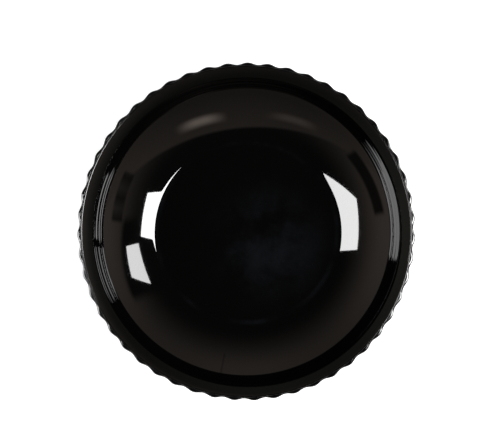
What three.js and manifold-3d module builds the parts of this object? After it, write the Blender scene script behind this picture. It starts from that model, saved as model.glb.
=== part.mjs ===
// A fluted black serving bowl, about 305 mm across: a smooth inner bowl welded into a fluted
// outer shell, standing on a soft ring pressed into the shell's base.
// Millimetres, +Z up. The origin is the centre of the face that the bowl stands on.

import * as THREE from 'three';
import { mergeVertices } from 'three/addons/utils/BufferGeometryUtils.js';
import Module from 'manifold-3d';

const wasm = await Module();
wasm.setup();

// Driving dimensions.
const FLUTES = 51;
const FLUTE_DEPTH = 1.9;        // crest to valley, at the rim
const FIRST_CREST = 4.7;        // degrees from +X
const SAMPLES_PER_FLUTE = 4;
const ROUND_SEGMENTS = 68;
const ARC_STEP = 9;             // degrees of slope per facet along a profile's arcs
const FIT_GAP = 0.3;            // between two parts that touch

const FLOOR_TOP = 9.5;          // height of the inside floor
const INNER_WALL = 2.5;
// Inside profile, from the axis outward: the radius where each stretch ends, and its slope there.
const INSIDE = [
  [83.0, 0],                    // flat floor
  [88.9, 30],                   // floor fillet
  [131.6, 44],                  // dished wall
  [132.8, 63.7],                // root of the steep band
  [138.9, 63.7],                // steep band
  [139.7, 46.5],                // bend
  [147.9, 46],                  // flared band
  [148.8, 0],                   // rounded lip
];
const LIP_RADIUS = 149.5;       // outer edge of the inner bowl's lip
const LIP_ROUND = 0.7;
const LIP_SKIRT = 7.0;          // how far the lip's outer face reaches down
const SKIRT_WIDTH = 2.8;        // flat foot of the skirt, which stands on the shell's ledge

const SHELL_WALL = 2.0;
const LEDGE_WIDTH = 2.0;        // inside the shell's mouth, under the skirt
const BASE_BOTTOM = 1.5;
const BASE_THICKNESS = 4.5;
const BASE_TURN = 10.0;         // width over which the cavity's floor turns up into the wall
const RIB_RADIUS = 60.0;        // round rib on the base, which bears the inner bowl's floor
const RIB_WIDTH = 3.0;
const FLUTES_START = 92.0;      // radius where the flutes run out above the foot
const FLUTES_FULL = 142.0;      // radius from which they have their full depth
// Outside profile over the crests, from the base's edge to the rim.
const OUTSIDE_START = 80.0;
const OUTSIDE = [
  [84.0, 15],
  [143.0, 48],
  [152.2, 86.6],
  [152.5, 86.6],
];
const RIM_ROUND = 1.6;

const RING_INNER = 70.0;
const RING_OUTER = 78.0;
const RING_HEIGHT = 3.2;
const RING_CHAMFER = 0.6;

const radians = THREE.MathUtils.degToRad;

// Points of a profile that is a chain of arcs, each starting with the slope the last one ended with.
function chain(startRadius, startHeight, startSlope, stretches) {
  const points = [new THREE.Vector2(startRadius, startHeight)];
  let slope = radians(startSlope);
  for (const [radius, endDegrees] of stretches) {
    const from = points[points.length - 1].clone();
    const end = radians(endDegrees);
    if (Math.abs(end - slope) < 1e-9) {
      const rise = (radius - from.x) * Math.tan(slope);
      points.push(new THREE.Vector2(radius, from.y + rise));
      continue;
    }
    const bend = (radius - from.x) / (Math.sin(end) - Math.sin(slope));
    const steps = Math.max(1, Math.round(Math.abs(end - slope) / radians(ARC_STEP)));
    for (let i = 1; i <= steps; i++) {
      const s = slope + (end - slope) * i / steps;
      const r = from.x + bend * (Math.sin(s) - Math.sin(slope));
      const z = from.y + bend * (Math.cos(slope) - Math.cos(s));
      points.push(new THREE.Vector2(r, z));
    }
    slope = end;
  }
  return points;
}

// Points of a quarter round of the given radius, between two angles in degrees.
function round(centreRadius, centreHeight, radius, fromDegrees, toDegrees, steps) {
  const points = [];
  for (let i = 0; i <= steps; i++) {
    const a = radians(fromDegrees + (toDegrees - fromDegrees) * i / steps);
    const r = centreRadius + radius * Math.cos(a);
    points.push(new THREE.Vector2(r, centreHeight + radius * Math.sin(a)));
  }
  return points;
}

// A profile moved square to itself, to the right of the way it runs.
function offsetProfile(points, distance) {
  return points.map((p, i) => {
    const before = points[Math.max(0, i - 1)];
    const after = points[Math.min(points.length - 1, i + 1)];
    const along = after.clone().sub(before).normalize();
    return new THREE.Vector2(p.x + along.y * distance, p.y - along.x * distance);
  });
}

// A solid of revolution about Z. The profile starts and ends on the axis, or closes on itself.
function lathe(profile, segments) {
  const geometry = new THREE.LatheGeometry(profile, segments);
  geometry.rotateX(Math.PI / 2);
  return geometry;
}

// Depth of the flutes where the crests are at this radius.
function fluteDepth(crestRadius) {
  return FLUTE_DEPTH * THREE.MathUtils.smoothstep(crestRadius, FLUTES_START, FLUTES_FULL);
}

// Draws the valleys between the flutes into a solid of revolution: 0 on a crest, 1 in a valley.
function flute(geometry) {
  const position = geometry.getAttribute('position');
  for (let i = 0; i < position.count; i++) {
    const x = position.getX(i);
    const y = position.getY(i);
    const radius = Math.hypot(x, y);
    const turns = (Math.atan2(y, x) - radians(FIRST_CREST)) * FLUTES / (2 * Math.PI);
    const valley = Math.sin(Math.PI * turns) ** 2;
    const scale = radius > 0 ? 1 - fluteDepth(radius) * valley / radius : 1;
    position.setXY(i, x * scale, y * scale);
  }
  return geometry;
}

function toSolid(geometry) {
  const bare = geometry.index ? geometry : geometry.clone();
  bare.deleteAttribute('normal');
  bare.deleteAttribute('uv');
  const welded = mergeVertices(bare, 1e-4);
  const index = welded.index.array;
  const position = welded.getAttribute('position').array;
  const corners = [];
  for (let i = 0; i < index.length; i += 3) {
    const [a, b, c] = [index[i], index[i + 1], index[i + 2]];
    if (a !== b && b !== c && c !== a) corners.push(a, b, c);
  }
  const mesh = new wasm.Mesh({
    numProp: 3,
    vertProperties: Float32Array.from(position),
    triVerts: Uint32Array.from(corners),
  });
  return new wasm.Manifold(mesh);
}

function toGeometry(solid) {
  const mesh = solid.getMesh();
  const geometry = new THREE.BufferGeometry();
  geometry.setAttribute('position', new THREE.BufferAttribute(mesh.vertProperties, 3));
  geometry.setIndex(new THREE.BufferAttribute(mesh.triVerts, 1));
  return geometry;
}

function part(name, geometry, color, roughness) {
  const material = new THREE.MeshStandardMaterial({ color, roughness, metalness: 0 });
  const mesh = new THREE.Mesh(geometry, material);
  mesh.name = name;
  return mesh;
}

// The smooth inner bowl: floor, dished wall, steep band, flared band and a rounded lip.
function innerBowl() {
  const inside = chain(0, FLOOR_TOP, 0, INSIDE);
  const lipTop = inside[inside.length - 1];
  const lip = round(LIP_RADIUS - LIP_ROUND, lipTop.y - LIP_ROUND, LIP_ROUND, 90, 0, 3);
  const footHeight = lipTop.y - LIP_SKIRT;
  const under = offsetProfile(inside, INNER_WALL)
    .filter(p => p.y < footHeight && p.x < LIP_RADIUS - SKIRT_WIDTH);
  const profile = [
    ...under,
    new THREE.Vector2(LIP_RADIUS - SKIRT_WIDTH, footHeight),
    new THREE.Vector2(LIP_RADIUS, footHeight),
    ...lip.slice(1).reverse(),
    ...inside.reverse(),
  ];
  return part('inner_bowl', lathe(profile, ROUND_SEGMENTS), 0x0a0a0b, 0.08);
}

// The fluted outer shell, open at the top, with the groove for the ring in its base.
function outerShell(lipTop) {
  const outside = chain(OUTSIDE_START, BASE_BOTTOM, 0, OUTSIDE);
  const edge = outside[outside.length - 1];
  const rim = round(edge.x - RIM_ROUND, edge.y, RIM_ROUND, 3, 90, 3).slice(1);
  const rimTop = rim[rim.length - 1].y;
  const onAxis = new THREE.Vector2(0, BASE_BOTTOM);
  const cap = new THREE.Vector2(0, rimTop);
  const blank = lathe([onAxis, ...outside, ...rim, cap], FLUTES * SAMPLES_PER_FLUTE);
  blank.rotateZ(radians(FIRST_CREST));

  const mouth = LIP_RADIUS + FIT_GAP;
  const baseTop = BASE_BOTTOM + BASE_THICKNESS;
  const ribTop = FLOOR_TOP - INNER_WALL - FIT_GAP;
  const ledge = lipTop - LIP_SKIRT - FIT_GAP;
  const above = rimTop + 5;
  const hollow = offsetProfile(outside, -SHELL_WALL - FLUTE_DEPTH / 2)
    .filter(p => p.y > baseTop && p.x < mouth - LEDGE_WIDTH && p.y < ledge);
  const cavity = lathe([
    new THREE.Vector2(0, baseTop),
    new THREE.Vector2(RIB_RADIUS, baseTop),
    new THREE.Vector2(RIB_RADIUS, ribTop),
    new THREE.Vector2(RIB_RADIUS + RIB_WIDTH, ribTop),
    new THREE.Vector2(RIB_RADIUS + RIB_WIDTH, baseTop),
    new THREE.Vector2(hollow[0].x - BASE_TURN, baseTop),
    ...hollow,
    new THREE.Vector2(mouth - LEDGE_WIDTH, ledge),
    new THREE.Vector2(mouth, ledge),
    new THREE.Vector2(mouth, above),
    new THREE.Vector2(0, above),
  ], ROUND_SEGMENTS);

  const groove = lathe([
    new THREE.Vector2(RING_INNER - FIT_GAP, BASE_BOTTOM - 1),
    new THREE.Vector2(RING_OUTER + FIT_GAP, BASE_BOTTOM - 1),
    new THREE.Vector2(RING_OUTER + FIT_GAP, RING_HEIGHT + FIT_GAP),
    new THREE.Vector2(RING_INNER - FIT_GAP, RING_HEIGHT + FIT_GAP),
    new THREE.Vector2(RING_INNER - FIT_GAP, BASE_BOTTOM - 1),
  ], ROUND_SEGMENTS);

  const shell = toSolid(flute(blank)).subtract(toSolid(cavity)).subtract(toSolid(groove));
  return part('outer_shell', toGeometry(shell), 0x0a0a0b, 0.1);
}

// The soft ring that the bowl stands on.
function footRing() {
  const ring = lathe([
    new THREE.Vector2(RING_INNER, RING_CHAMFER),
    new THREE.Vector2(RING_INNER + RING_CHAMFER, 0),
    new THREE.Vector2(RING_OUTER - RING_CHAMFER, 0),
    new THREE.Vector2(RING_OUTER, RING_CHAMFER),
    new THREE.Vector2(RING_OUTER, RING_HEIGHT),
    new THREE.Vector2(RING_INNER, RING_HEIGHT),
    new THREE.Vector2(RING_INNER, RING_CHAMFER),
  ], ROUND_SEGMENTS);
  return part('foot_ring', ring, 0x1a1a1a, 0.75);
}

const insideProfile = chain(0, FLOOR_TOP, 0, INSIDE);
const lipTop = insideProfile[insideProfile.length - 1].y;

const group = new THREE.Group();
group.add(innerBowl(), outerShell(lipTop), footRing());
export default group;
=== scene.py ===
"""A fluted black serving bowl, about 305 mm across, standing on a soft ring.

Two turned mouldings and a ring: a smooth, polished inner bowl, a fluted outer shell welded to it
under the lip, and the ring pressed into the shell's base. Every shape is a profile turned about
the Z axis: each profile is a chain of arcs, and each arc starts with the slope that the last one
ended with. The flutes pull the shell's radius in by their depth times the squared sine of the
angle from the nearest crest. Metres, +Z up, the origin at the centre of the resting face.
"""

import math

import bpy
import numpy as np
from mathutils import Matrix, Vector


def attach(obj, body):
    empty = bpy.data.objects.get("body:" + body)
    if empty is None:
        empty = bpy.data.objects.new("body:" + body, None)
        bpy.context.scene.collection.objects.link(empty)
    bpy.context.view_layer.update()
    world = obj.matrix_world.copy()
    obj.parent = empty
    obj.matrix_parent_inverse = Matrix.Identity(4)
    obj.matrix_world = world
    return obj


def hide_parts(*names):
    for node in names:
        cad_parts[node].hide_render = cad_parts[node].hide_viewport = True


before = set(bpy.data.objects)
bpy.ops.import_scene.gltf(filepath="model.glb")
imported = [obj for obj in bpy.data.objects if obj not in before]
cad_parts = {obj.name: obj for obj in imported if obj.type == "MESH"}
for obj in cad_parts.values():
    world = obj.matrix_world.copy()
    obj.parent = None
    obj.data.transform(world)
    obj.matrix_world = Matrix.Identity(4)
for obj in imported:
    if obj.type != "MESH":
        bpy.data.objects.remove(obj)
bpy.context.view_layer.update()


# ---- The inner bowl ----------------------------------------------------------------------------
# One moulding in glossy black melamine: a flat floor, a dished wall, a steep band with fine
# turned grooves, a flared band and a rounded lip. Its skirt stands on a ledge inside the shell.

FLOOR_HEIGHT = 0.00898
INNER_WALL = 0.0020
# Where each stretch of the inside ends: radius, slope in degrees, rows of faces along it.
INSIDE = [
    (0.0830, 0, 22),            # flat floor
    (0.0889, 30, 16),           # floor fillet
    (0.1316, 44, 60),           # dished wall
    (0.1319, 59, 5),            # root of the steep band
    (0.1328, 62, 4),
    (0.1339, 70, 6),            # grooves in the steep band, hollow and ridge in turn
    (0.1354, 60.7, 7),
    (0.1366, 65, 6),
    (0.1375, 61.8, 5),
    (0.1383, 64, 5),
    (0.1389, 60, 4),
    (0.1397, 47, 7),            # bend
    (0.1479, 45.7, 12),         # flared band
    (0.1488, 0, 8),             # rounded lip
]
LIP_RADIUS = 0.1495
LIP_ROUND = 0.0007
SKIRT_LENGTH = 0.007
SKIRT_WIDTH = 0.0028
INNER_COLUMNS = 256
# A faint bluish cloud in the floor's colour, thickest to one side of the middle.
CLOUD_CENTRE = (0.020, -0.010, 0)
CLOUD_EDGE, CLOUD_CORE = 0.070, 0.010     # distances from its centre where it ends and is full
CLEAN_BLACK = (0.0004, 0.0004, 0.0004)
# Painted reflection: this bluish colour also paints the ring of reflected room light on the fillet.
CLOUD_AND_RING_REFLECTION_BLACK = (0.0026, 0.0029, 0.0037)
RING_REFLECTION_SHARE = 0.8                         # share of the cloud colour painted on the fillet as a painted reflection


def arc_chain(radius, height, slope, stretches):
    """A chain of arcs as arrays of radius and height. An arc whose slope turns from a to b bends
    by rho = run / (sin b - sin a); along it r = r0 + rho (sin s - sin a) and
    z = z0 + rho (cos a - cos s). A stretch of constant slope is straight."""
    radii = [np.array([radius])]
    heights = [np.array([height])]
    start = math.radians(slope)
    for end_radius, end_slope, rows in stretches:
        end = math.radians(end_slope)
        share = np.linspace(0, 1, rows + 1)[1:]
        r0, z0 = radii[-1][-1], heights[-1][-1]
        if abs(end - start) < 1e-6:
            radii.append(r0 + (end_radius - r0) * share)
            heights.append(z0 + (end_radius - r0) * share * math.tan(start))
        else:
            slopes = start + (end - start) * share
            bend = (end_radius - r0) / (math.sin(end) - math.sin(start))
            radii.append(r0 + bend * (np.sin(slopes) - math.sin(start)))
            heights.append(z0 + bend * (math.cos(start) - np.cos(slopes)))
        start = end
    return np.concatenate(radii), np.concatenate(heights)


def moved_out(radii, heights, distance):
    """A profile moved square to itself, to the right of the way it runs."""
    along = np.stack([np.gradient(radii), np.gradient(heights)])
    along /= np.linalg.norm(along, axis=0)
    return radii + along[1] * distance, heights - along[0] * distance


def quarter_round(centre_radius, centre_height, radius, start, end, rows):
    """Part of a circle in the profile's plane, between two angles in degrees."""
    angles = np.radians(np.linspace(start, end, rows + 1))
    return centre_radius + radius * np.cos(angles), centre_height + radius * np.sin(angles)


def joined(*lengths):
    """Several stretches of profile, each (radii, heights), as one."""
    return tuple(np.concatenate([np.atleast_1d(s[k]) for s in lengths]) for k in (0, 1))


def turned_piece(name, rings, on_axis):
    """A closed surface from rings of points, an array of rows x columns x 3. On the axis, the first
    and last rows are single points closed by fans. Otherwise the last row joins the first."""
    rows, columns = rings.shape[:2]
    around = np.arange(columns)
    after = (around + 1) % columns
    if on_axis:
        points = np.concatenate([rings[0, :1], rings[1:-1].reshape(-1, 3), rings[-1, :1]])
        first = 1 + np.arange(rows - 3)[:, None] * columns
        second = first + columns
        top = 1 + (rows - 3) * columns
        fans = [
            np.stack([np.zeros_like(around), 1 + after, 1 + around], -1),
            np.stack([top + around, top + after, np.full_like(around, len(points) - 1)], -1),
        ]
    else:
        points = rings.reshape(-1, 3)
        first = np.arange(rows)[:, None] * columns
        second = np.roll(first, -1, axis=0)
        fans = []
    quads = np.stack([first + around, first + after, second + after, second + around], -1)
    faces = quads.reshape(-1, 4).tolist() + [f for fan in fans for f in fan.tolist()]
    mesh = bpy.data.meshes.new(name)
    mesh.from_pydata(points.tolist(), [], faces)
    mesh.shade_smooth()
    mesh.set_sharp_from_angle(angle=math.radians(40))
    piece = bpy.data.objects.new(name, mesh)
    bpy.context.scene.collection.objects.link(piece)
    return piece


def turn(radii, heights, columns):
    """A profile turned about Z: x = r cos a, y = r sin a, for even angles a."""
    angles = np.linspace(0, 2 * math.pi, columns, endpoint=False)
    radii = radii[:, None] * np.ones(columns)
    return np.stack(
        [radii * np.cos(angles), radii * np.sin(angles), heights[:, None] * np.ones(columns)], -1
    )


def put(tree, kind, inputs=(), **settings):
    """Adds a node. Inputs are named sockets, each set to a value or linked to another's output."""
    made = tree.nodes.new(kind)
    for option, value in settings.items():
        setattr(made, option, value)
    for socket, value in dict(inputs).items():
        if isinstance(value, bpy.types.NodeSocket):
            tree.links.new(value, made.inputs[socket])
        else:
            made.inputs[socket].default_value = value
    return made


def calc(tree, operation, *values):
    """One sum on numbers or sockets."""
    return put(tree, "ShaderNodeMath", enumerate(values), operation=operation).outputs[0]


def fade(tree, value, start, end):
    """0 at start and 1 at end, with a smooth S-shaped change between them."""
    limits = {"Value": value, "From Min": start, "From Max": end}
    return put(tree, "ShaderNodeMapRange", limits, interpolation_type="SMOOTHSTEP").outputs[0]


def colour_between(tree, factor, first, second):
    """A mix of two colours."""
    made = put(tree, "ShaderNodeMix", {"Factor": factor}, data_type="RGBA")
    made.inputs["A"].default_value = (*first, 1)
    made.inputs["B"].default_value = (*second, 1)
    return made.outputs["Result"]


inside_r, inside_z = arc_chain(0, FLOOR_HEIGHT, 0, INSIDE)
lip_top = inside_z[-1]
skirt_foot = lip_top - SKIRT_LENGTH
under_r, under_z = moved_out(inside_r, inside_z, INNER_WALL)
under_r[0] = 0
kept = (under_z < skirt_foot) & (under_r < LIP_RADIUS - SKIRT_WIDTH)
lip_r, lip_z = quarter_round(LIP_RADIUS - LIP_ROUND, lip_top - LIP_ROUND, LIP_ROUND, 0, 80, 8)
bowl_r, bowl_z = joined(
    (under_r[kept], under_z[kept]),
    ([LIP_RADIUS - SKIRT_WIDTH, LIP_RADIUS], [skirt_foot, skirt_foot]),
    (lip_r, lip_z),
    (inside_r[::-1], inside_z[::-1]),
)
inner_bowl = turned_piece("inner_bowl_gloss", turn(bowl_r, bowl_z, INNER_COLUMNS), True)

melamine = bpy.data.materials.new("inner_black_melamine")
melamine.use_nodes = True
tree = melamine.node_tree
shader = tree.nodes["Principled BSDF"]
place = put(tree, "ShaderNodeTexCoord").outputs["Object"]
axes = put(tree, "ShaderNodeSeparateXYZ", {0: place})
flat_place = put(tree, "ShaderNodeCombineXYZ", {"X": axes.outputs["X"], "Y": axes.outputs["Y"]})
from_axis = put(
    tree, "ShaderNodeVectorMath", {0: flat_place.outputs[0]}, operation="LENGTH"
).outputs["Value"]
# A faint bluish cloud in the floor's colour, thickest to one side of the middle, and a painted
# reflection: a fainter ring along the floor's fillet, standing in for the room it reflects.
mottle = put(
    tree, "ShaderNodeTexNoise", {"Vector": place, "Scale": 22, "Detail": 6, "Roughness": 0.62}
).outputs["Fac"]
from_cloud_centre = put(
    tree,
    "ShaderNodeVectorMath",
    {0: flat_place.outputs[0], 1: CLOUD_CENTRE},
    operation="DISTANCE",
).outputs["Value"]
near_centre = fade(tree, from_cloud_centre, CLOUD_EDGE, CLOUD_CORE)
cloud = calc(tree, "MULTIPLY", fade(tree, mottle, 0.38, 0.72), near_centre)
past_floor = fade(tree, from_axis, 0.0812, 0.0845)
before_wall = fade(tree, from_axis, 0.0885, 0.0850)
around_floor = calc(tree, "MULTIPLY", past_floor, before_wall)
# Painted reflection: the ring along the floor's fillet, where the fillet reflects the room.
painted_ring_reflection = calc(tree, "MULTIPLY", around_floor, fade(tree, mottle, 0.40, 0.75))
cloud_and_painted_ring = calc(tree, "MULTIPLY_ADD", painted_ring_reflection, RING_REFLECTION_SHARE, cloud)
tree.links.new(
    colour_between(tree, cloud_and_painted_ring, CLEAN_BLACK, CLOUD_AND_RING_REFLECTION_BLACK), shader.inputs["Base Color"]
)
polish = put(
    tree, "ShaderNodeTexNoise", {"Vector": place, "Scale": 60, "Detail": 3}
).outputs["Fac"]
roughness = calc(tree, "MULTIPLY_ADD", polish, 0.012, 0.028)
tree.links.new(calc(tree, "MULTIPLY_ADD", cloud_and_painted_ring, 0.05, roughness), shader.inputs["Roughness"])
swell = put(tree, "ShaderNodeTexNoise", {"Vector": place, "Scale": 14, "Detail": 1}).outputs["Fac"]
bump = put(tree, "ShaderNodeBump", {"Height": swell, "Strength": 0.25, "Distance": 0.0002})
tree.links.new(bump.outputs["Normal"], shader.inputs["Normal"])
shader.inputs["IOR"].default_value = 1.5
inner_bowl.data.materials.append(melamine)
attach(inner_bowl, "root")
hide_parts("inner_bowl")


# ---- The outer shell ---------------------------------------------------------------------------
# One moulding in the same black melamine, fluted outside like a pleated cup, with its bevelled rim
# drawn in at each valley. A ledge inside its mouth carries the inner bowl, a round rib on its base
# bears the floor, and a groove underneath holds the ring.

FLUTES = 51
FLUTE_DEPTH = 0.0019
FIRST_CREST = math.radians(4.7)
FLUTES_START, FLUTES_FULL = 0.092, 0.142
COLUMNS_PER_FLUTE = 12
BASE_BOTTOM = 0.0015
BASE_TOP = 0.0060
BASE_MARGIN = 0.0017            # flat base left outside the ring's groove
BASE_TURN = 0.0100              # width over which the hollow's floor turns up into the side
# The moulding mark in the middle of the base: radius and height of each corner.
GATE = [(0, 0.0012), (0.0012, 0.0012), (0.0018, 0.0018), (0.0045, 0.0018), (0.0052, BASE_BOTTOM)]
OUTSIDE = [(0.0840, 15, 5), (0.1430, 48, 34), (0.1522, 86.6, 24), (0.15249, 86.6, 4)]
# The rim's arcs, from the side over the top to the mouth: radius, first and last angle in degrees,
# rows of faces. The middle one is a broad, gently curved bevel.
RIM_ARCS = [(0.0012, 8, 60, 8), (0.0050, 60, 72, 8), (0.0012, 72, 144, 8)]
SHELL_WALL = 0.0020
WELD_GAP = 0.0001
MOUTH_STEP = 0.0004             # drop from the rim's last arc to the straight mouth
LEDGE_WIDTH = 0.0020
RIB_RADIUS, RIB_WIDTH = 0.060, 0.003
RING_INNER, RING_OUTER, RING_HEIGHT = 0.070, 0.078, 0.0032
FIT_GAP = 0.0003
SHELL_BLACK = (0.0009, 0.0009, 0.0010)
SCUFFED_BLACK = (0.010, 0.010, 0.011)


def fluted(rings, mouth):
    """Pulls each ring in by depth x weight x sin^2 of half the turn between crests, where the
    weight grows smoothly from 0 above the foot to 1 below the rim; never past the mouth."""
    crest = rings[:, 0, 0:1]
    turns = np.arange(rings.shape[1]) / COLUMNS_PER_FLUTE
    valley = np.sin(math.pi * turns) ** 2
    weight = np.clip((crest - FLUTES_START) / (FLUTES_FULL - FLUTES_START), 0, 1)
    weight = weight * weight * (3 - 2 * weight)
    radius = np.maximum(crest - FLUTE_DEPTH * weight * valley, np.minimum(crest, mouth))
    angles = FIRST_CREST + 2 * math.pi * turns / FLUTES
    return np.stack([radius * np.cos(angles), radius * np.sin(angles), rings[..., 2]], -1)


mouth = LIP_RADIUS + WELD_GAP
base_edge = RING_OUTER + FIT_GAP + BASE_MARGIN
side_r, side_z = arc_chain(base_edge, BASE_BOTTOM, 0, OUTSIDE)
# Each arc's centre lies on the last arc's closing radius, so that the slope never jumps.
rim_bend, rim_start, rim_end, rim_rows = RIM_ARCS[0]
centre_r, centre_z = side_r[-1] - rim_bend, side_z[-1]
rim = [quarter_round(centre_r, centre_z, rim_bend, rim_start, rim_end, rim_rows)]
for next_bend, start, end, rows in RIM_ARCS[1:]:
    centre_r += (rim_bend - next_bend) * math.cos(math.radians(start))
    centre_z += (rim_bend - next_bend) * math.sin(math.radians(start))
    arc_r, arc_z = quarter_round(centre_r, centre_z, next_bend, start, end, rows)
    rim.append((arc_r[1:], arc_z[1:]))
    rim_bend = next_bend
rim_r, rim_z = joined(*rim)
hollow_r, hollow_z = moved_out(side_r, side_z, -SHELL_WALL - FLUTE_DEPTH / 2)
ledge = skirt_foot - FIT_GAP
kept = (hollow_z > BASE_TOP) & (hollow_r < mouth - LEDGE_WIDTH) & (hollow_z < ledge)
rib_top = FLOOR_HEIGHT - INNER_WALL - FIT_GAP
groove_top = RING_HEIGHT + FIT_GAP
gate_r, gate_z = zip(*GATE)
shell_r, shell_z = joined(
    (gate_r, gate_z),
    (np.linspace(0.020, RING_INNER - FIT_GAP, 4), np.full(4, BASE_BOTTOM)),
    ([RING_INNER - FIT_GAP, RING_OUTER + FIT_GAP], [groove_top, groove_top]),
    ([RING_OUTER + FIT_GAP], [BASE_BOTTOM]),
    (side_r, side_z),
    (rim_r, rim_z),
    ([mouth, mouth], [rim_z[-1] - MOUTH_STEP, ledge]),
    ([mouth - LEDGE_WIDTH], [ledge]),
    (hollow_r[kept][::-1], hollow_z[kept][::-1]),
    ([hollow_r[kept][0] - BASE_TURN, RIB_RADIUS + RIB_WIDTH], [BASE_TOP, BASE_TOP]),
    ([RIB_RADIUS + RIB_WIDTH, RIB_RADIUS], [rib_top, rib_top]),
    ([RIB_RADIUS, 0.030, 0], [BASE_TOP, BASE_TOP, BASE_TOP]),
)
shell_rings = fluted(turn(shell_r, shell_z, FLUTES * COLUMNS_PER_FLUTE), mouth)
outer_shell = turned_piece("outer_shell_fluted", shell_rings, True)

shell_black = bpy.data.materials.new("shell_black_melamine")
shell_black.use_nodes = True
tree = shell_black.node_tree
shader = tree.nodes["Principled BSDF"]
place = put(tree, "ShaderNodeTexCoord").outputs["Object"]
height = put(tree, "ShaderNodeSeparateXYZ", {0: place}).outputs["Z"]
# Light rubbing where the shell meets the table, in short scratches that run around it.
scuff_place = put(tree, "ShaderNodeMapping", {"Vector": place, "Scale": (1, 1, 6)}).outputs[0]
scratches = put(
    tree, "ShaderNodeTexNoise", {"Vector": scuff_place, "Scale": 240, "Detail": 5}
).outputs["Fac"]
near_foot = fade(tree, height, 0.012, 0.002)
scuffs = calc(tree, "MULTIPLY", fade(tree, scratches, 0.56, 0.70), near_foot)
tree.links.new(
    colour_between(tree, scuffs, SHELL_BLACK, SCUFFED_BLACK), shader.inputs["Base Color"]
)
polish = put(
    tree, "ShaderNodeTexNoise", {"Vector": place, "Scale": 70, "Detail": 3}
).outputs["Fac"]
worn = calc(tree, "MULTIPLY_ADD", scuffs, 0.25, calc(tree, "MULTIPLY_ADD", polish, 0.03, 0.03))
tree.links.new(
    calc(tree, "MULTIPLY_ADD", near_foot, 0.06, worn), shader.inputs["Roughness"]
)
skin = put(tree, "ShaderNodeTexNoise", {"Vector": place, "Scale": 160, "Detail": 2}).outputs["Fac"]
bump = put(tree, "ShaderNodeBump", {"Height": skin, "Strength": 0.2, "Distance": 0.00003})
tree.links.new(bump.outputs["Normal"], shader.inputs["Normal"])
shader.inputs["IOR"].default_value = 1.6
outer_shell.data.materials.append(shell_black)
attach(outer_shell, "root")
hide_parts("outer_shell")


# ---- The foot ring -----------------------------------------------------------------------------
# A soft ring in dark thermoplastic rubber, pressed into the groove under the shell so that the
# bowl doesn't slide. Two low ribs touch the table, with a shallow channel between them.

RING_ROUND = 0.0006
CHANNEL_DEPTH = 0.0004
CHANNEL_HALF_WIDTH = 0.0015
CHANNEL_POINTS = 13
RING_COLUMNS = 204
CLEAN_RUBBER = (0.016, 0.016, 0.017)
DUSTY_RUBBER = (0.045, 0.044, 0.042)

rib_in = quarter_round(RING_INNER + RING_ROUND, RING_ROUND, RING_ROUND, 180, 270, 5)
rib_out = quarter_round(RING_OUTER - RING_ROUND, RING_ROUND, RING_ROUND, 270, 360, 5)
middle = (RING_INNER + RING_OUTER) / 2
across = np.linspace(-1, 1, CHANNEL_POINTS)
channel_r = middle + CHANNEL_HALF_WIDTH * across
channel_z = CHANNEL_DEPTH * np.cos(across * math.pi / 2) ** 2
ring_r, ring_z = joined(
    ([RING_INNER], [RING_HEIGHT]),
    rib_in,
    (channel_r, channel_z),
    rib_out,
    ([RING_OUTER], [RING_HEIGHT]),
)
foot_ring = turned_piece("foot_ring_soft", turn(ring_r, ring_z, RING_COLUMNS), False)

rubber = bpy.data.materials.new("foot_rubber_matte")
rubber.use_nodes = True
tree = rubber.node_tree
shader = tree.nodes["Principled BSDF"]
place = put(tree, "ShaderNodeTexCoord").outputs["Object"]
grain = put(
    tree, "ShaderNodeTexNoise", {"Vector": place, "Scale": 900, "Detail": 3}
).outputs["Fac"]
dust = put(
    tree, "ShaderNodeTexNoise", {"Vector": place, "Scale": 45, "Detail": 5}
).outputs["Fac"]
tree.links.new(
    colour_between(tree, fade(tree, dust, 0.45, 0.75), CLEAN_RUBBER, DUSTY_RUBBER),
    shader.inputs["Base Color"],
)
tree.links.new(calc(tree, "MULTIPLY_ADD", grain, 0.25, 0.58), shader.inputs["Roughness"])
bump = put(tree, "ShaderNodeBump", {"Height": grain, "Strength": 0.5, "Distance": 0.0001})
tree.links.new(bump.outputs["Normal"], shader.inputs["Normal"])
foot_ring.data.materials.append(rubber)
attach(foot_ring, "root")
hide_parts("foot_ring")


# ---- The table and the backdrop ----------------------------------------------------------------
# A wide white table, lit from within like a product bench and a little more so farther away, and a
# plain white dome behind it that only the camera sees.

TABLE_RADIUS = 6.0
TABLE_CORNERS = 96
TABLE_WHITE = (0.35, 0.35, 0.35, 1)
GLOW_NEAR, GLOW_ADDED_FAR = 0.85, 0.20
NEAR_ENDS, FAR_STARTS = 0.5, 2.5        # distances from the bowl between which the glow rises
DOME_ROWS = 25
DOME_FLOOR = -0.02

table_angles = np.linspace(0, 2 * math.pi, TABLE_CORNERS, endpoint=False)
table_points = TABLE_RADIUS * np.stack(
    [np.cos(table_angles), np.sin(table_angles), np.zeros(TABLE_CORNERS)], -1
)
table_mesh = bpy.data.meshes.new("table")
table_mesh.from_pydata(table_points.tolist(), [], [list(range(TABLE_CORNERS))])
table = bpy.data.objects.new("table", table_mesh)
bpy.context.scene.collection.objects.link(table)
white = bpy.data.materials.new("table_white")
white.use_nodes = True
tree = white.node_tree
shader = tree.nodes["Principled BSDF"]
shader.inputs["Base Color"].default_value = TABLE_WHITE
shader.inputs["Roughness"].default_value = 0.7
shader.inputs["Emission Color"].default_value = (1, 1, 1, 1)
place = put(tree, "ShaderNodeTexCoord").outputs["Object"]
from_bowl = put(
    tree, "ShaderNodeVectorMath", {0: place}, operation="LENGTH"
).outputs["Value"]
farther = fade(tree, from_bowl, NEAR_ENDS, FAR_STARTS)
tree.links.new(
    calc(tree, "MULTIPLY_ADD", farther, GLOW_ADDED_FAR, GLOW_NEAR),
    shader.inputs["Emission Strength"],
)
table_mesh.materials.append(white)

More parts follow.
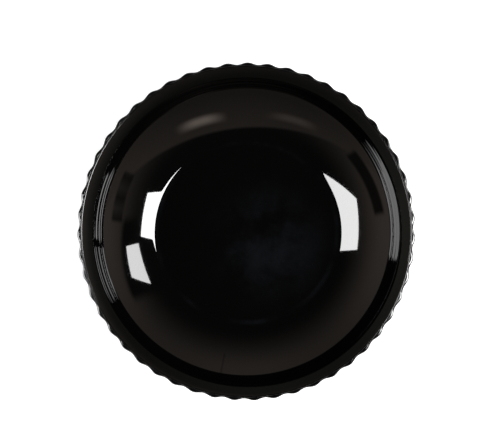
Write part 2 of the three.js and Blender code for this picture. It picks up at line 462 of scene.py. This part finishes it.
dome_r, dome_z = quarter_round(0, 0, TABLE_RADIUS, 0, 90, DOME_ROWS - 1)
dome_r[-1] = 0
dome_r, dome_z = joined(([0], [DOME_FLOOR]), (dome_r, dome_z))
dome = turned_piece("dome", turn(dome_r, dome_z, TABLE_CORNERS), True)


def glowing(name, colour, strength):
    """A material that only gives off light."""
    material = bpy.data.materials.new(name)
    material.use_nodes = True
    tree = material.node_tree
    tree.nodes.clear()
    glow = put(tree, "ShaderNodeEmission", {"Color": (*colour, 1), "Strength": strength})
    put(tree, "ShaderNodeOutputMaterial", {"Surface": glow.outputs[0]})
    return material


dome.data.materials.append(glowing("dome_white", (1, 1, 1), 1.0))
dome.visible_glossy = False
dome.visible_diffuse = False
dome.visible_shadow = False


# ---- The lamps ---------------------------------------------------------------------------------
# Three flat softboxes around the bowl, which the camera doesn't see. Each is a four-cornered panel
# that faces the bowl from the same distance, and its light comes only from its own glow.

LAMP_DISTANCE = 1.6


def softbox(name, corners, strength):
    """A flat panel that glows on both sides, square to the line from the bowl to its middle. A
    corner is a bearing from +X and an elevation, both in degrees as seen from the bowl."""
    bearings, elevations = np.radians(corners).T
    level = np.cos(elevations)
    directions = np.stack(
        [level * np.cos(bearings), level * np.sin(bearings), np.sin(elevations)], -1
    )
    middle = directions.sum(axis=0)
    middle /= np.linalg.norm(middle)
    points = directions * (LAMP_DISTANCE / (directions @ middle))[:, None]
    mesh = bpy.data.meshes.new(name)
    mesh.from_pydata(points.tolist(), [], [(0, 1, 2, 3)])
    mesh.materials.append(glowing(name, (1, 1, 1), strength))
    panel = bpy.data.objects.new(name, mesh)
    bpy.context.scene.collection.objects.link(panel)
    panel.visible_camera = False


softbox("key_lamp", [(-21, 31), (3.5, 31), (14, 53), (-45.5, 57)], strength=30)
softbox("side_lamp", [(8, 23), (7, 29.5), (30, 29), (23, 21.5)], strength=16)
softbox("fill_lamp", [(195.5, 25), (170, 26), (167.5, 35), (216, 34.5)], strength=19)


# ---- The studio's own glow ---------------------------------------------------------------------
# A dim ceiling over pale, warm walls, brighter towards both sides. Along -Y stands a tall pale
# board with a level top edge and two soft lights on it, and a few dark things line the walls.

# The walls' own light, and what is added to it towards both sides and towards +Y.
WALL_LIGHT, SIDE_LIGHT, NORTH_LIGHT = 0.15, 0.40, 0.19
WALL_ENDS, WALL_FULL = 0.52, 0.18       # heights, as sines of the elevation, where its light fades
# The board's light low down, its gain with height over the start, and more towards both sides.
BOARD_LIGHT, BOARD_GAIN, BOARD_START, BOARD_SIDE_LIGHT = 0.13, 0.5, 0.19, 0.32
# The height of the board's top edge, as a share of how far north and how far east it is.
EDGE_TO_NORTH, EDGE_TO_EAST = -0.577, 0.08
BARS_PER_RADIAN = 12
EAST_GLOW, WEST_GLOW = 1.7, 0.38        # the soft lights on the board
SHELF_DARKNESS, SEAM_DARKNESS = 0.93, 0.4
# The skirting: its light as a share of the wall's, less towards the east, and where it ends.
SKIRTING, SKIRTING_TO_EAST = 0.26, -0.10
SKIRTING_FULL, SKIRTING_ENDS = 0.06, 0.13
SKIRTING_COLOUR = (1.0, 0.98, 0.84)
WALL_COLOUR = (1.0, 0.83, 0.72)
CEILING_COLOUR, CEILING_LIGHT = (1.0, 0.99, 0.94, 1), 0.028

room = bpy.data.worlds.new("studio")
bpy.context.scene.world = room
room.use_nodes = True
tree = room.node_tree
tree.nodes.clear()
toward = put(tree, "ShaderNodeTexCoord").outputs["Generated"]
axes = put(tree, "ShaderNodeSeparateXYZ", {0: toward})
east, north, up = axes.outputs["X"], axes.outputs["Y"], axes.outputs["Z"]


def times(first, second):
    """Two lights or shares of light multiplied."""
    return calc(tree, "MULTIPLY", first, second)


def without(light, share):
    """A light dimmed by a share of itself."""
    return times(light, calc(tree, "SUBTRACT", 1, share))


def seen_along(direction):
    """How far the view points along a level direction."""
    return put(
        tree, "ShaderNodeVectorMath", {0: toward, 1: direction}, operation="DOT_PRODUCT"
    ).outputs["Value"]


def patch(azimuth, height, half_width, half_height, soft_wide, soft_tall, slant=0):
    """1 inside a patch of the room round a compass direction in degrees and a height (the sine of
    its elevation), falling smoothly to 0 over soft; 0 behind the viewer. A slant makes the patch
    rise by that share of the way across."""
    a = math.radians(azimuth)
    across = seen_along((-math.sin(a), math.cos(a), 0))
    wide = fade(tree, calc(tree, "ABSOLUTE", across), half_width + soft_wide, half_width)
    level = calc(tree, "MULTIPLY_ADD", across, slant, height)
    off = calc(tree, "ABSOLUTE", calc(tree, "SUBTRACT", up, level))
    tall = fade(tree, off, half_height + soft_tall, half_height)
    front = calc(tree, "GREATER_THAN", seen_along((math.cos(a), math.sin(a), 0)), 0)
    return times(times(wide, tall), front)


sides = calc(tree, "POWER", calc(tree, "ABSOLUTE", east), 4)
to_north = calc(tree, "POWER", calc(tree, "MAXIMUM", north, 0), 6)
wall = calc(tree, "MULTIPLY_ADD", sides, SIDE_LIGHT, WALL_LIGHT)
wall = calc(tree, "MULTIPLY_ADD", to_north, NORTH_LIGHT, wall)
wall = times(wall, fade(tree, up, WALL_ENDS, WALL_FULL))
wall = without(wall, patch(14, 0.42, 0.26, 0.10, 0.10, 0.05, -0.14))

edge = calc(tree, "MULTIPLY_ADD", east, EDGE_TO_EAST, times(north, EDGE_TO_NORTH))
board = fade(tree, calc(tree, "SUBTRACT", edge, up), -0.01, 0.03)
over_start = calc(tree, "MAXIMUM", calc(tree, "SUBTRACT", up, BOARD_START), 0)
board_light = calc(tree, "MULTIPLY_ADD", over_start, BOARD_GAIN, BOARD_LIGHT)
board_light = calc(tree, "MULTIPLY_ADD", sides, BOARD_SIDE_LIGHT, board_light)
light = calc(tree, "ADD", without(wall, board), times(board_light, board))
east_glow = patch(292, 0.372, 0.03, 0.004, 0.20, 0.055, -0.10)
west_glow = patch(246, 0.345, 0.04, 0.004, 0.20, 0.045, 0.15)
light = calc(tree, "MULTIPLY_ADD", east_glow, EAST_GLOW, light)
light = calc(tree, "MULTIPLY_ADD", west_glow, WEST_GLOW, light)

shelf = times(patch(201, 0.232, 0.22, 0.032, 0.05, 0.030, 0.09), SHELF_DARKNESS)
bearing = calc(tree, "ARCTAN2", north, east)
bars = calc(tree, "PINGPONG", times(bearing, BARS_PER_RADIAN), 1)
panes = calc(tree, "MULTIPLY_ADD", bars, 0.35, 0.5)
window = times(patch(345, 0.275, 0.17, 0.035, 0.04, 0.025), panes)
seam = times(patch(81, 0.20, 0.003, 0.10, 0.006, 0.02), SEAM_DARKNESS)
dark = calc(tree, "MAXIMUM", shelf, calc(tree, "MAXIMUM", window, seam))
light = without(light, dark)

low_light = calc(tree, "MULTIPLY_ADD", east, SKIRTING_TO_EAST, SKIRTING)
over_skirting = fade(tree, up, SKIRTING_FULL, SKIRTING_ENDS)
rest_of_light = calc(tree, "SUBTRACT", 1, low_light)
light = times(light, calc(tree, "MULTIPLY_ADD", over_skirting, rest_of_light, low_light))
paint = colour_between(tree, over_skirting, SKIRTING_COLOUR, WALL_COLOUR)
wall_glow = put(tree, "ShaderNodeBackground", {"Color": paint, "Strength": light})
ceiling_glow = put(
    tree, "ShaderNodeBackground", {"Color": CEILING_COLOUR, "Strength": CEILING_LIGHT}
)
both = put(tree, "ShaderNodeAddShader", {0: wall_glow.outputs[0], 1: ceiling_glow.outputs[0]})
put(tree, "ShaderNodeOutputWorld", {"Surface": both.outputs[0]})


# ---- The camera --------------------------------------------------------------------------------
# Almost straight above the bowl, about 1.3 m over its lip, with its top edge towards +Y.

CAMERA_HEIGHT = 1.3             # over the lip
STANDPOINT = Vector((0.025, -0.022, lip_top + CAMERA_HEIGHT))
AIM = Vector((0, 0, lip_top))
VIEW_WIDTH = 0.4499             # width seen at the lip's height
SENSOR_WIDTH = 36

camera_data = bpy.data.cameras.new("camera")
camera = bpy.data.objects.new("camera", camera_data)
bpy.context.scene.collection.objects.link(camera)
back = (STANDPOINT - AIM).normalized()
right = Vector((0, 1, 0)).cross(back).normalized()
turned_to = Matrix((right, back.cross(right), back)).transposed().to_4x4()
camera.matrix_world = Matrix.Translation(STANDPOINT) @ turned_to
camera_data.sensor_width = SENSOR_WIDTH
camera_data.lens = SENSOR_WIDTH * CAMERA_HEIGHT / VIEW_WIDTH
camera_data.shift_x = 0.0082
camera_data.shift_y = 0.0313
bpy.context.scene.camera = camera
bpy.context.scene.view_settings.view_transform = "Standard"
